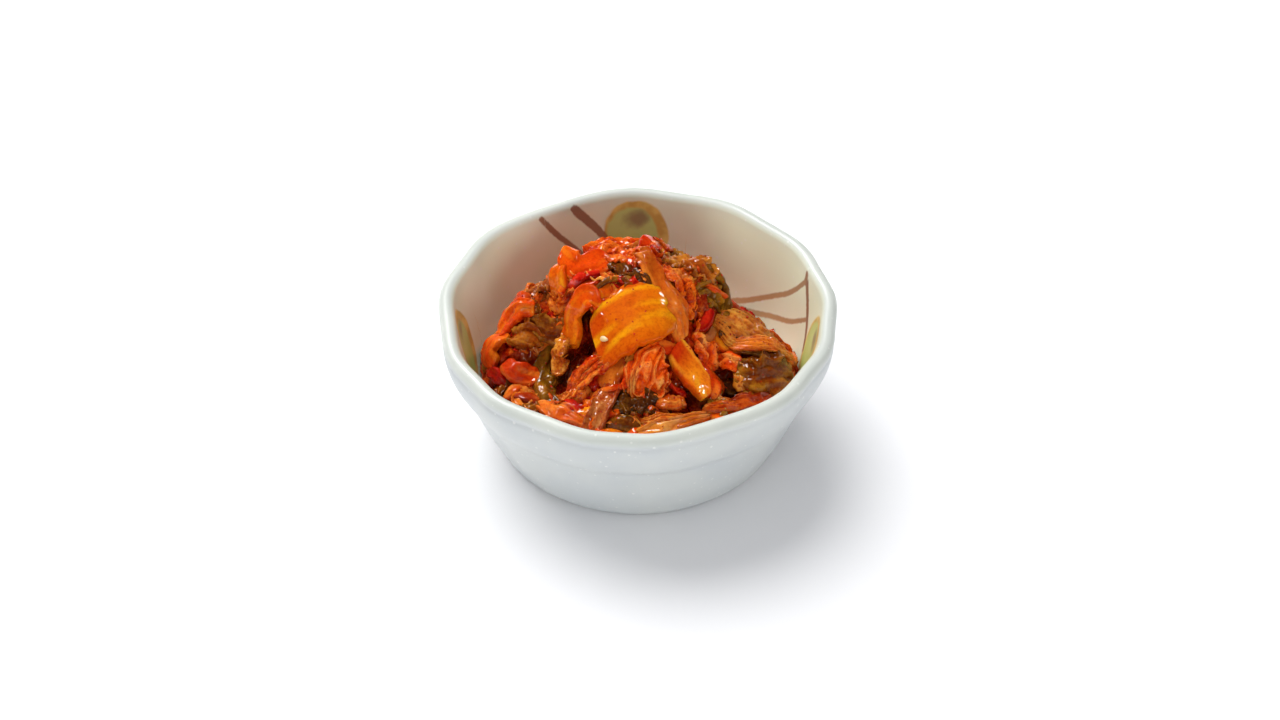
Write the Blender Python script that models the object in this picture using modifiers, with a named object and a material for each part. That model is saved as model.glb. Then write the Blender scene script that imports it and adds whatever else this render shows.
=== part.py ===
"""A side dish of kimchi heaped in its small hand-thrown stoneware bowl, at real size.

The bowl stands on the ground plane with its foot centred on the origin, and +Z is up.
Every size below is in millimetres, and MM turns it to Blender's metres.
"""

import math

import bmesh
import bpy
from mathutils import Vector, noise

MM = 0.001

# Bowl
BOWL_HEIGHT = 48.0
RIM_RADIUS = 62.5
LIP_RADIUS = 2.5  # the rounded bead that runs round the mouth
FOOT_RADIUS = 42.6
FOOT_WIDTH = 4.6
FOOT_DEPTH = 1.6
TURN_STEPS = 72

# The wall's shape between its round ends, as radius and height
INNER_WALL = ((0.0, 5.5), (13.0, 5.8), (26.0, 6.8), (35.0, 8.9), (42.0, 12.4), (47.0, 17.2),
              (50.6, 23.0), (53.2, 30.0), (55.2, 37.0), (56.8, 43.0))
UPPER_BAND = ((62.05, 43.8), (62.3, 42.2), (61.7, 38.5), (60.4, 34.4), (59.0, 31.4), (58.2, 30.4))
LOWER_WALL = ((57.5, 29.4), (56.2, 26.6), (53.6, 20.0), (51.0, 13.2), (48.6, 8.0), (47.2, 5.0),
              (46.1, 2.6))

# The hand-pressed mouth: soft corners, by their angle, with flatter stretches between
RIM_CORNERS = (-156.0, -136.0, -102.0, -88.0, -42.0, -18.0, 6.0, 30.0, 61.0, 92.0, 144.0, 170.0)
CORNER_PROUD = 0.7
FLAT_PER_DEGREE = 0.045

# Heap of kimchi
CLEARANCE = 0.35  # between the food and the glaze
HEAP_LEVEL = 23.0
HEAP_SLOPE = 0.17  # the food is pushed towards the front of the bowl
HEAP_CROWN = 7.0
HEAP_RADIUS = 52.0
TOP_RINGS = 20
BED_RINGS = 8
RELIEF = 1.5
RELIEF_GRAIN = 8.0
FOLD_PLACE = Vector((3.1, 7.7, 1.9))
FINE_PLACE = Vector((11.3, 2.9, 5.1))

# Mounds: centre x, y, half width, half depth in front and behind, height, steepness of the flank
MOUNDS = {
    "tall middle": (-1.0, 11.0, 31.0, 44.0, 34.0, 21.0, 1.75),
    "crest": (-9.0, 15.0, 22.0, 26.0, 19.0, 8.0, 1.8),
    "right crest": (14.0, 16.0, 17.0, 24.0, 17.0, 6.5, 1.8),
    "left shoulder": (-31.0, 12.0, 13.0, 18.0, 14.0, 13.0, 1.4),
    "right shoulder": (27.0, 12.0, 12.0, 18.0, 14.0, 11.0, 1.4),
    "left mound": (-38.0, 3.0, 14.0, 18.0, 17.0, 10.5, 1.5),
    "right mound": (36.0, -2.0, 17.0, 18.0, 18.0, 9.5, 1.3),
    "front mound": (3.0, -30.0, 38.0, 14.0, 18.0, 3.5, 1.2),
}


def clear_scene():
    for old in list(bpy.data.objects):
        bpy.data.objects.remove(old, do_unlink=True)


def arc(centre, radius, start, end, steps):
    """Points of an arc in the profile plane, angles in degrees from +r towards +z."""
    points = []
    for step in range(steps + 1):
        angle = math.radians(start + (end - start) * step / steps)
        points.append((centre[0] + radius * math.cos(angle), centre[1] + radius * math.sin(angle)))
    return points


def inner_profile():
    """The food side of the wall, from the middle of the floor to the lip."""
    return list(INNER_WALL)


def bowl_profile():
    """The whole section, from the floor's middle over the lip and down to the foot's middle."""
    lip = arc((RIM_RADIUS - LIP_RADIUS, BOWL_HEIGHT - LIP_RADIUS), LIP_RADIUS, 165, -30, 8)
    foot_edge = arc((FOOT_RADIUS, 2.6), 2.6, -20, -90, 3)
    foot_inner = FOOT_RADIUS - FOOT_WIDTH
    recess = [(foot_inner, 0.0), (foot_inner - 0.9, FOOT_DEPTH), (0.0, FOOT_DEPTH)]
    return inner_profile() + lip + list(UPPER_BAND) + list(LOWER_WALL) + foot_edge + recess


def mouth_scale(angle, height):
    """How far the pressed mouth pushes the wall out or in at an angle in radians and a height in mm."""
    degrees = math.degrees(angle)
    corners = sorted(RIM_CORNERS)
    corners = [corners[-1] - 360.0] + corners + [corners[0] + 360.0]
    for low, high in zip(corners, corners[1:]):
        if low <= degrees <= high:
            share = (degrees - low) / (high - low)
            depth = FLAT_PER_DEGREE * (high - low)
            change = CORNER_PROUD - depth * math.sin(math.pi * share) ** 2
            return 1.0 + change / RIM_RADIUS * (height / BOWL_HEIGHT) ** 1.5
    return 1.0


def along(points, share):
    """The point a share of the way along a run of points, and the unit direction there."""
    lengths = [math.dist(a, b) for a, b in zip(points, points[1:])]
    left = share * sum(lengths)
    for (a, b), length in zip(zip(points, points[1:]), lengths):
        if left <= length or (a, b) == (points[-2], points[-1]):
            part = left / length
            point = (a[0] + (b[0] - a[0]) * part, a[1] + (b[1] - a[1]) * part)
            return point, ((b[0] - a[0]) / length, (b[1] - a[1]) / length)
        left -= length
    return points[-1], (0.0, 1.0)


def wall_radius(height):
    """Radius of the food side of the wall at a height."""
    run = inner_profile()
    for (r0, z0), (r1, z1) in zip(run, run[1:]):
        if z0 <= height <= z1:
            return r0 + (r1 - r0) * (height - z0) / (z1 - z0)
    return run[-1][0]


def bump(share):
    """A smooth step from 0 to 1."""
    share = min(max(share, 0.0), 1.0)
    return share * share * (3.0 - 2.0 * share)


def heap_height(x, y):
    """Height of the heap's top over a point of the bowl."""
    radius = math.hypot(x, y)
    height = HEAP_LEVEL - HEAP_SLOPE * y + HEAP_CROWN * (1.0 - (radius / HEAP_RADIUS) ** 2)
    for cx, cy, half_x, front, behind, rise, steep in MOUNDS.values():
        half_y = front if y < cy else behind
        away = (abs((x - cx) / half_x) ** 2.4 + abs((y - cy) / half_y) ** 2.4) ** 0.5
        height += rise * bump(steep * (1.0 - away))
    return height


def heap_point(x, y):
    """A point of the heap's top and its normal."""
    step = 0.5
    slope_x = (heap_height(x + step, y) - heap_height(x - step, y)) / (2 * step)
    slope_y = (heap_height(x, y + step) - heap_height(x, y - step)) / (2 * step)
    return Vector((x, y, heap_height(x, y))), Vector((-slope_x, -slope_y, 1.0)).normalized()


def relief(point):
    """The uneven outline of the leaves and stems: broad folds with finer ones over them."""
    place = point / RELIEF_GRAIN
    fold = 1.0 - 2.0 * abs(noise.noise(place + FOLD_PLACE))
    fine = noise.noise(place * 2.1 + FINE_PLACE)
    return RELIEF * (fold - 0.6 + 0.7 * fine)


def contact(angle):
    """Radius and height at which the heap's edge meets the wall."""
    radius = HEAP_RADIUS
    for _ in range(12):
        height = heap_height(radius * math.cos(angle), radius * math.sin(angle))
        radius = wall_radius(height) * mouth_scale(angle, height) - CLEARANCE
    return radius, height


def make_material(name, colour, roughness, metallic=0.0):
    material = bpy.data.materials.new(name)
    material.use_nodes = True
    shader = material.node_tree.nodes["Principled BSDF"]
    shader.inputs["Base Color"].default_value = (*colour, 1.0)
    shader.inputs["Roughness"].default_value = roughness
    shader.inputs["Metallic"].default_value = metallic
    return material


def add_object(name, mesh, collection, material):
    obj = bpy.data.objects.new(name, mesh)
    collection.objects.link(obj)
    mesh.materials.append(material)
    mesh.shade_smooth()
    return obj


def turned_mesh(profile):
    """The mesh that a Screw modifier makes of a profile at +X."""
    bm = bmesh.new()
    points = [bm.verts.new((r * MM, 0.0, z * MM)) for r, z in profile]
    for a, b in zip(points, points[1:]):
        bm.edges.new((a, b))
    mesh = bpy.data.meshes.new("bowl_profile")
    bm.to_mesh(mesh)
    bm.free()
    turned = bpy.data.objects.new("bowl_profile", mesh)
    bpy.context.scene.collection.objects.link(turned)
    screw = turned.modifiers.new("Turn", "SCREW")
    screw.steps = TURN_STEPS
    screw.render_steps = TURN_STEPS
    screw.use_merge_vertices = True
    screw.merge_threshold = 0.00001
    bpy.context.view_layer.update()
    solid = bpy.data.meshes.new_from_object(turned.evaluated_get(bpy.context.evaluated_depsgraph_get()))
    bpy.data.objects.remove(turned, do_unlink=True)
    bpy.data.meshes.remove(mesh)
    return solid


def press_mouth(mesh):
    """Presses the mouth's corners and flats into the turned wall."""
    for vertex in mesh.vertices:
        x, y, z = vertex.co
        scale = mouth_scale(math.atan2(y, x), z / MM)
        vertex.co = (x * scale, y * scale, z)


def make_bowl(collection):
    mesh = turned_mesh(bowl_profile())
    mesh.name = "bowl"
    press_mouth(mesh)
    glaze = make_material("stoneware_glaze", (0.64, 0.67, 0.65), 0.22)
    return add_object("bowl", mesh, collection, glaze)


def make_kimchi(collection):
    """A sphere's rings laid over the heap above its widest ring, and on the bowl's floor below it."""
    rings = TOP_RINGS + BED_RINGS
    bm = bmesh.new()
    bmesh.ops.create_uvsphere(bm, u_segments=TURN_STEPS, v_segments=rings, radius=1.0)
    for vertex in bm.verts:
        direction = vertex.co.normalized()
        angle = math.atan2(direction.y, direction.x)
        ring = math.acos(max(-1.0, min(1.0, direction.z))) / math.pi * rings
        edge_radius, edge_height = contact(angle)
        if ring <= TOP_RINGS + 0.01:
            share = ring / TOP_RINGS
            reach = edge_radius * share
            point, normal = heap_point(reach * math.cos(angle), reach * math.sin(angle))
            point += normal * relief(point) * bump(5.0 * (1.0 - share))
        else:
            run = [p for p in inner_profile() if p[1] < edge_height]
            run.append((wall_radius(edge_height), edge_height))
            (r, z), (dr, dz) = along(run, (rings - ring) / BED_RINGS)
            r = max(0.0, r * mouth_scale(angle, z) - CLEARANCE * dz)
            point = Vector((r * math.cos(angle), r * math.sin(angle), z + CLEARANCE * dr))
        vertex.co = point * MM
    mesh = bpy.data.meshes.new("kimchi")
    bm.to_mesh(mesh)
    bm.free()
    food = make_material("kimchi", (0.58, 0.14, 0.02), 0.3)
    return add_object("kimchi", mesh, collection, food)


def centre_on_bowl(bowl, others):
    """Puts the bowl's box centre over the origin, with what lies in it."""
    xs = [vertex.co.x for vertex in bowl.data.vertices]
    ys = [vertex.co.y for vertex in bowl.data.vertices]
    shift = Vector((-(min(xs) + max(xs)) / 2, -(min(ys) + max(ys)) / 2, 0.0))
    for obj in (bowl, *others):
        for vertex in obj.data.vertices:
            vertex.co += shift


def main():
    clear_scene()
    dish = bpy.data.collections.new("kimchi_in_bowl")
    bpy.context.scene.collection.children.link(dish)
    bowl = make_bowl(dish)
    kimchi = make_kimchi(dish)
    centre_on_bowl(bowl, [kimchi])


main()
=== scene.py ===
import math
import random
from dataclasses import dataclass
from functools import partial

import bmesh
import bpy
import numpy as np
from mathutils import Matrix, Vector, noise
from mathutils.bvhtree import BVHTree


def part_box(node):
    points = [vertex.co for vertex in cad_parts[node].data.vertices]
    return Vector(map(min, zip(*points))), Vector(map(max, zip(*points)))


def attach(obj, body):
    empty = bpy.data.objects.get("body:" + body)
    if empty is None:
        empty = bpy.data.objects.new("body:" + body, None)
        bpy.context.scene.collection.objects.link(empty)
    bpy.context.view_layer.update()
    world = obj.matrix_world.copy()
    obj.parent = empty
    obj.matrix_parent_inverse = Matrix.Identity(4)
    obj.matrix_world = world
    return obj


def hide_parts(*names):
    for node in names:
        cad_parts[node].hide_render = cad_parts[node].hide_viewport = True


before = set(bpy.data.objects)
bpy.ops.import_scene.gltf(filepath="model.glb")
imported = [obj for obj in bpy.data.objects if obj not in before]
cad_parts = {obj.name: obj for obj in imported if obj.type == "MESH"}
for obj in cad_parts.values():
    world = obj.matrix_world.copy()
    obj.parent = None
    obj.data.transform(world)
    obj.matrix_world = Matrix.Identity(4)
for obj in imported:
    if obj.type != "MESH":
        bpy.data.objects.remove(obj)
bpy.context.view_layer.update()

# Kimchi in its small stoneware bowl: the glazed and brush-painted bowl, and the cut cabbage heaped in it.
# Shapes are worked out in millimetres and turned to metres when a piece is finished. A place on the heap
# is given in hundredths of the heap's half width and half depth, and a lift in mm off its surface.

MM = 0.001
BODY = "root"
FOOD_SLOT = "kimchi"
GLAZE_SLOT = "glaze"

BOWL_LOW, BOWL_HIGH = (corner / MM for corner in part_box("bowl"))
HEAP_LOW, HEAP_HIGH = (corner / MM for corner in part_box("kimchi"))
HEAP_CENTRE = (HEAP_LOW + HEAP_HIGH) / 2
HEAP_HALF = (HEAP_HIGH - HEAP_LOW) / 2

# Bowl, as radius and height
BOWL_HEIGHT = BOWL_HIGH.z
RIM_RADIUS = 62.5
LIP_RADIUS = 2.5
FOOT_RADIUS = 42.6
FOOT_WIDTH = 4.6
FOOT_DEPTH = 1.6
INNER_WALL = ((0.0, 5.5), (13.0, 5.8), (26.0, 6.8), (35.0, 8.9), (42.0, 12.4), (47.0, 17.2),
              (50.6, 23.0), (53.2, 30.0), (55.2, 37.0), (56.8, 43.0))
UPPER_BAND = ((62.05, 43.8), (62.3, 42.2), (61.7, 38.5), (60.4, 34.4), (59.0, 31.4), (58.2, 30.4))
LOWER_WALL = ((57.5, 29.4), (56.2, 26.6), (53.6, 20.0), (51.0, 13.2), (48.6, 8.0), (47.2, 5.0),
              (46.1, 2.6))
TURN_STEPS = 420
RIM_CORNERS = (-156.0, -136.0, -102.0, -88.0, -42.0, -18.0, 6.0, 30.0, 61.0, 92.0, 144.0, 170.0)
CORNER_PROUD = 0.7
FLAT_PER_DEGREE = 0.045
CORNER_BLUR = 1.8

# Brushwork on the food side: angles in degrees from +X, heights and widths in mm
LEAF_TURNS = ((90.5, 34.4, 11.3, 0.0), (-6.0, 34.4, 11.4, 1.9), (182.0, 34.2, 11.2, 3.6),
              (-90.0, 35.0, 10.6, 5.1))
# Each stroke: its way up the wall, then the half width at both ends and the tone there, 0 brown to 1 tan
STROKES = (
    (((123.6, 46.0), (119.0, 39.4), (114.2, 33.9), (108.0, 27.0)), (1.15, 1.05), (0.0, 0.2)),
    (((111.3, 45.6), (106.9, 40.6), (102.2, 34.7), (99.0, 30.0)), (1.8, 1.2), (0.0, 0.2)),
    (((19.6, 45.6), (14.2, 39.5), (7.6, 32.5), (3.0, 28.0)), (1.15, 0.9), (0.0, 0.1)),
    (((18.9, 43.2), (24.5, 35.8), (30.7, 30.4), (43.2, 22.6), (53.5, 18.4)), (1.0, 1.0), (0.3, 0.9)),
    (((11.0, 34.0), (18.5, 28.2), (26.0, 24.4), (41.1, 19.6), (53.5, 18.2)), (0.9, 1.0), (0.5, 0.9)),
    (((211.0, 45.6), (205.5, 39.5), (200.0, 32.5), (196.0, 28.0)), (0.95, 0.7), (0.1, 0.2)),
    (((222.0, 45.6), (218.0, 40.0), (212.5, 34.0), (208.0, 28.0)), (1.3, 0.8), (0.15, 0.4)),
    (((-52.0, 45.6), (-57.0, 39.5), (-63.0, 32.5), (-68.0, 27.0)), (1.0, 0.7), (0.1, 0.3)),
)
LEAF_SIZE_AT = 56.0  # radius at which the round leaves' sizes are true
NOT_PAINTED = 9.0  # mm or leaf radii, well away from any mark
LIP_BOUNCE_SHARE = 0.25  # share of the food side's brighter, warmer painted light that runs over the lip
LIP_FADE = 2.2  # mm over which the rest of it gives out

# Camera and light
LENS = 85.0
CAMERA_DISTANCE = 960.3  # mm
CAMERA_DOWN = math.radians(40.44)
AIM_BELOW_RIM = 21.95  # mm
AIM_RIGHT = 0.69  # mm
LAMP_DISTANCE = 1.6  # metres
# Lamps: turn and height in degrees, width in metres, watts
KEY = (124.0, 54.0, 1.70, 34.0)
FRONT_FILL = (-84.0, 12.0, 0.60, 9.0)
WINDOW = (118.0, 50.0, 0.47, 12.5)
GLINTS = ((-112.0, 44.0), (40.0, 38.0), (172.0, 38.0), (-52.0, 42.0))
GLINT_SIZE = 0.13
GLINT_POWER = 1.5
ROOM_LIGHT = 0.47
ROOM_IN_GLOSS = 0.04

random.seed(7)


# ---------------------------------------------------------------- colour and nodes

def linear(hex_colour):
    """An sRGB hex colour as linear red, green, blue and alpha."""
    channels = [int(hex_colour[i:i + 2], 16) / 255 for i in (1, 3, 5)]
    return tuple(c / 12.92 if c <= 0.04045 else ((c + 0.055) / 1.055) ** 2.4 for c in channels) + (1.0,)


def per_mm(size):
    """The scale of a pattern on Object coordinates whose grain measures size mm."""
    return 1.0 / (size * MM)


def set_inputs(made, inputs):
    """Sets inputs of a node to values or hex colours, or links them to the sockets that feed them."""
    for name, value in inputs.items():
        if isinstance(value, bpy.types.NodeSocket):
            made.id_data.links.new(value, made.inputs[name])
        else:
            made.inputs[name].default_value = linear(value) if isinstance(value, str) else value


# The nodes in use: their type, the inputs that they are fed in order, their output and settings
NODES = {
    "place": ("TexCoord", (), "Object", {}),
    "colour": ("Attribute", (), "Color", {}),
    "vector": ("Attribute", (), "Vector", {}),
    "number": ("Attribute", (), "Fac", {}),
    "noise": ("TexNoise", ("Vector", "Scale", "Detail", "Roughness"), 0, {}),
    "cells": ("TexVoronoi", ("Vector", "Scale"), "Distance", {}),
    "stretch": ("Mapping", ("Vector", "Scale"), 0, {}),
    "mix": ("Mix", (0, 6, 7), 2, {"data_type": "RGBA"}),
    "filter": ("Mix", (0, 6, 7), 2, {"data_type": "RGBA", "blend_type": "MULTIPLY"}),
    "lighten": ("Mix", (0, 6, 7), 2, {"data_type": "RGBA", "blend_type": "SCREEN"}),
    "grade": ("MapRange", (0, 1, 2, 3, 4), 0, {"interpolation_type": "SMOOTHSTEP"}),
    "sum": ("Math", (0, 1), 0, {"operation": "ADD"}),
    "difference": ("Math", (0, 1), 0, {"operation": "SUBTRACT"}),
    "product": ("Math", (0, 1), 0, {"operation": "MULTIPLY"}),
    "vector difference": ("VectorMath", (0, 1), 0, {"operation": "SUBTRACT"}),
    "vector product": ("VectorMath", (0, 1), 0, {"operation": "MULTIPLY"}),
    "length": ("VectorMath", (0,), "Value", {"operation": "LENGTH"}),
    "axes": ("SeparateXYZ", (0,), 0, {}),
    "ramp": ("ValToRGB", (0,), 0, {}),
    "bump": ("Bump", ("Height", "Distance", "Strength"), 0, {}),
    "gloss ray": ("LightPath", (), "Is Glossy Ray", {}),
}


def add(tree, name, *feeds, **settings):
    """Adds a node with its settings and links, and gives its output."""
    kind, sockets, output, fixed = NODES[name]
    made = tree.nodes.new("ShaderNode" + kind)
    for setting, value in {**fixed, **settings}.items():
        setattr(made, setting, value)
    set_inputs(made, dict(zip(sockets, feeds)))
    return made.outputs[output]


def new_material(name):
    """A material, its shader, and what adds a node to it."""
    material = bpy.data.materials.new(name)
    material.use_nodes = True
    tree = material.node_tree
    return material, tree.nodes["Principled BSDF"], partial(add, tree)


# ---------------------------------------------------------------- bowl

def arc(centre, radius, start, end, steps):
    """Points of an arc in the profile plane, angles in degrees from +r towards +z."""
    angles = (math.radians(start + (end - start) * i / steps) for i in range(steps + 1))
    return [(centre[0] + radius * math.cos(a), centre[1] + radius * math.sin(a)) for a in angles]


def smooth_curve(points, samples):
    """A curve through rows of numbers, with rounded turns, sampled evenly from the first to the last."""
    rows = np.asarray(points, float)
    rows = np.vstack([2 * rows[0] - rows[1], rows, 2 * rows[-1] - rows[-2]])
    places = np.linspace(0, len(rows) - 3, samples)
    span = np.minimum(places.astype(int), len(rows) - 4)
    part = (places - span)[:, None]
    a, b, c, d = (rows[span + i] for i in range(4))
    return 0.5 * (2 * b + (c - a) * part + (2 * a - 5 * b + 4 * c - d) * part ** 2
                  + (3 * b - a - 3 * c + d) * part ** 3)


def bowl_profile():
    """The section from the floor's middle over the lip and down to the foot's middle."""
    inner = smooth_curve(INNER_WALL, 128)
    lip = arc((RIM_RADIUS - LIP_RADIUS, BOWL_HEIGHT - LIP_RADIUS), LIP_RADIUS, 165, -30, 16)
    band = smooth_curve(UPPER_BAND, 16)
    lower = smooth_curve(LOWER_WALL, 18)
    foot_edge = arc((FOOT_RADIUS, 2.6), 2.6, -20, -90, 5)
    foot_inner = FOOT_RADIUS - FOOT_WIDTH
    recess = [(foot_inner, 0.0), (foot_inner - 0.9, FOOT_DEPTH), (0.0, FOOT_DEPTH)]
    return [*inner, *lip, *band, *lower, *foot_edge, *recess]


def mouth_scale(angle, height):
    """How far the pressed mouth pushes the wall out or in, at angles in degrees and heights in mm."""
    corners = np.array((RIM_CORNERS[-1] - 360.0, *RIM_CORNERS, RIM_CORNERS[0] + 360.0))
    flat = np.clip(np.searchsorted(corners, angle) - 1, 0, len(corners) - 2)
    span = corners[flat + 1] - corners[flat]
    share = (angle - corners[flat]) / span
    change = CORNER_PROUD - FLAT_PER_DEGREE * span * np.sin(math.pi * share) ** 2
    return 1.0 + change / RIM_RADIUS * (np.maximum(height, 0.0) / BOWL_HEIGHT) ** 1.5


def turned(angle, other):
    """The turn in degrees from one angle to another, the short way round."""
    return (angle - other + 180.0) % 360.0 - 180.0


def softened_mouth(angle, height):
    """The pressed mouth with its corners rounded off by the glaze."""
    turns = (0.0, CORNER_BLUR, -CORNER_BLUR, 2 * CORNER_BLUR, -2 * CORNER_BLUR)
    return np.mean([mouth_scale(turned(angle, -turn), height) for turn in turns], axis=0)


def brush_marks(angle, height, radius):
    """How far outside the nearest stroke points of the wall are, in mm, and the stroke's tone there."""
    away = np.full(len(angle), NOT_PAINTED)
    tone = np.zeros(len(angle))
    per_degree = np.radians(radius)
    for way, widths, tones in STROKES:
        rows = smooth_curve(way, 160)
        share = np.linspace(0, 1, len(rows))
        for (turn, high), half_width, shade in zip(rows, np.interp(share, (0, 1), widths),
                                                   np.interp(share, (0, 1), tones)):
            reach = np.hypot(turned(angle, turn) * per_degree, height - high) - half_width
            nearer = reach < away
            away[nearer] = reach[nearer]
            tone[nearer] = shade
    return away, tone


def leaf_marks(angle, height):
    """Each point's place on the nearest round leaf, in leaf radii, and a number that varies its wash."""
    marks = np.full((len(angle), 3), (NOT_PAINTED, NOT_PAINTED, 0.0))
    for turn, high, size, seed in LEAF_TURNS:
        x = turned(angle, turn) * math.radians(LEAF_SIZE_AT) / size
        y = (height - high) / size
        near = np.hypot(x, y) < 1.6
        marks[near] = np.column_stack([x, y, np.full(len(x), seed)])[near]
    return marks


def store(mesh, name, kind, values):
    """Keeps a value for each point of a mesh, for its material to read."""
    field = {"FLOAT": "value", "FLOAT_VECTOR": "vector", "FLOAT_COLOR": "color"}[kind]
    mesh.attributes.new(name, kind, "POINT").data.foreach_set(field, np.ravel(values).astype(np.float32))


def points_of(mesh):
    places = np.zeros(len(mesh.vertices) * 3, np.float32)
    mesh.vertices.foreach_get("co", places)
    return places.reshape(-1, 3).astype(float)


def set_points(mesh, places):
    mesh.vertices.foreach_set("co", np.ravel(places).astype(np.float32))


def as_mesh(bm, name="part"):
    mesh = bpy.data.meshes.new(name)
    bm.to_mesh(mesh)
    bm.free()
    return mesh


def make_bowl():
    bm = bmesh.new()
    points = [bm.verts.new((r, 0.0, z)) for r, z in bowl_profile()]
    edges = [bm.edges.new(pair) for pair in zip(points, points[1:])]
    bmesh.ops.spin(bm, geom=points + edges, cent=(0, 0, 0), axis=(0, 0, 1), angle=2 * math.pi,
                   steps=TURN_STEPS, use_merge=True)
    bmesh.ops.remove_doubles(bm, verts=bm.verts, dist=0.001)
    bmesh.ops.recalc_face_normals(bm, faces=bm.faces)
    mesh = as_mesh(bm)
    places = points_of(mesh)
    angle = np.degrees(np.arctan2(places[:, 1], places[:, 0]))
    radius, height = np.hypot(places[:, 0], places[:, 1]), places[:, 2]
    lip_middle = RIM_RADIUS - LIP_RADIUS
    in_lip = height > INNER_WALL[-1][1]
    limit = np.where(in_lip, lip_middle, wall_radius(height) + 0.6)
    inside = (radius < limit) & (height > 5.0)
    # The lip takes part of the food side's painted light, brighter and warmer where it turns inwards.
    lip_warm_light = np.maximum(np.clip((lip_middle - 0.6 - radius) / LIP_FADE, 0, 1),
                           LIP_BOUNCE_SHARE * np.clip((height - 44.6) / 2, 0, 1))
    store(mesh, "food_side", "FLOAT", np.where(in_lip, lip_warm_light, inside))
    marks = np.full((len(places), 3), (NOT_PAINTED, NOT_PAINTED, 0.0))
    away, tone = np.full(len(places), NOT_PAINTED), np.zeros(len(places))
    marks[inside] = leaf_marks(angle[inside], height[inside])
    away[inside], tone[inside] = brush_marks(angle[inside], height[inside], radius[inside])
    store(mesh, "leaf", "FLOAT_VECTOR", marks)
    store(mesh, "stroke", "FLOAT", away)
    store(mesh, "tone", "FLOAT", tone)
    places[:, :2] *= softened_mouth(angle, height)[:, None]
    for axis in range(2):
        middle = (places[:, axis].min() + places[:, axis].max()) / 2
        places[:, axis] += (BOWL_LOW[axis] + BOWL_HIGH[axis]) / 2 - middle
    set_points(mesh, places)
    return mesh


def wall_radius(height):
    """Radius of the food side of the wall at a height."""
    return np.interp(height, [z for r, z in INNER_WALL], [r for r, z in INNER_WALL])


def painted_glaze():
    """Stoneware under a thick semi-matt white glaze, dipped and fired, with iron and copper brushwork
    under it. The eye sees a soft wide sheen, tiny pale specks and washes whose edges bleed a little."""
    material, shader, node = new_material("dipped_stoneware_glaze")
    place = node("place")
    cloud = node("noise", place, per_mm(22), 3.0)
    clouded = node("grade", cloud, 0.35, 0.65)
    # The white glaze is painted darker and cooler outside and brighter and warmer on the food side: painted
    # shade outside, and painted warm bounce light off the food inside.
    glaze_cool_shade = node("mix", clouded, "#bbc0c1", "#c2c6c4")
    glaze_warm_bounce = node("mix", clouded, "#dfe4c6", "#e6ead0")
    body = node("mix", node("number", attribute_name="food_side"), glaze_cool_shade, glaze_warm_bounce)
    # Thick glaze pools paler in pin specks about half a millimetre wide
    speck = node("cells", place, per_mm(2.6)).node.outputs
    size = node("product", speck["Color"], 0.22)
    dots = node("grade", node("difference", speck["Distance"], size), -0.04, 0.05, 0.45, 0.0)
    body = node("mix", dots, body, "#e8e8e2")
    # Brown stems
    bleed = node("product", node("difference", node("noise", place, per_mm(1.4), 2.0), 0.5), 0.5)
    outside = node("sum", node("number", attribute_name="stroke"), bleed)
    ink = node("grade", outside, -0.45, 0.18, 0.92, 0.0)
    stem = node("mix", node("number", attribute_name="tone"), "#84543a", "#c29c68")
    stem = node("mix", node("grade", cloud, 0.45, 0.75, 0.0, 0.5), stem, "#9a6a44")
    # Round leaves: a green wash inside an ochre ring, with a purple-brown touch near the top
    leaf = node("vector", attribute_name="leaf")
    axes = node("axes", leaf).node.outputs
    wobble = node("noise", leaf, 1.6, 3.0)
    swing = node("difference", wobble, 0.5)
    far = node("length", node("vector product", leaf, (1.0, 1.0, 0.0)))
    far = node("sum", far, node("product", swing, 0.22))
    wash = node("mix", node("grade", wobble, 0.35, 0.65), "#bcd070", "#a4b850")
    wash = node("mix", node("grade", axes["Y"], -0.9, 0.4), wash, "#bcca74")
    ring = node("mix", node("grade", wobble, 0.4, 0.6), "#e0c060", "#c49c3c")
    off_centre = node("sum", far, node("product", axes["X"], -0.16))
    wash = node("mix", node("grade", off_centre, 0.70, 0.82), wash, ring)
    smudge = node("vector difference", leaf, (-0.05, 0.45, 0.0))
    smudge = node("length", node("vector product", smudge, (1.7, 2.7, 0.0)))
    smudge = node("sum", smudge, node("product", swing, 1.6))
    wash = node("mix", node("grade", smudge, 0.2, 1.0, 0.8, 0.0), wash, "#7a5a3e")
    colour = node("mix", node("grade", far, 0.93, 1.02, 0.94, 0.0), body, wash)
    ripple = node("noise", place, per_mm(9), 2.0)
    set_inputs(shader, {
        "Base Color": node("mix", ink, colour, stem),
        "Roughness": 0.42,
        "IOR": 1.5,
        "Coat Weight": 0.3,
        "Coat Roughness": 0.28,
        "Normal": node("bump", ripple, 0.12 * MM, 0.6),
    })
    return material


# ---------------------------------------------------------------- heap

def tree_of(mesh):
    """A mesh's faces, to cast rays on."""
    bm = bmesh.new()
    bm.from_mesh(mesh)
    tree = BVHTree.FromBMesh(bm)
    bm.free()
    return tree


def heap_tree():
    """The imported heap's outline, in mm, to lay the pieces on."""
    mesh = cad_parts["kimchi"].data.copy()
    mesh.transform(Matrix.Scale(1 / MM, 4))
    return tree_of(mesh)


HEAP = heap_tree()
DOWN = Vector((0, 0, -1))
SKY = 200.0


def on_plan(across, deep):
    """A place given in hundredths of the heap's half sizes, as x and y in mm."""
    return HEAP_CENTRE.x + across / 100 * HEAP_HALF.x, HEAP_CENTRE.y + deep / 100 * HEAP_HALF.y


def surface_height(x, y):
    """Height of the heap's outline over a point, taken from its edge where the point is outside."""
    for pull in np.linspace(1.0, 0.7, 13):
        hit = HEAP.ray_cast(Vector((x * pull, y * pull, SKY)), DOWN)[0]
        if hit is not None:
            return hit.z
    return HEAP_CENTRE.z


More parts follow.
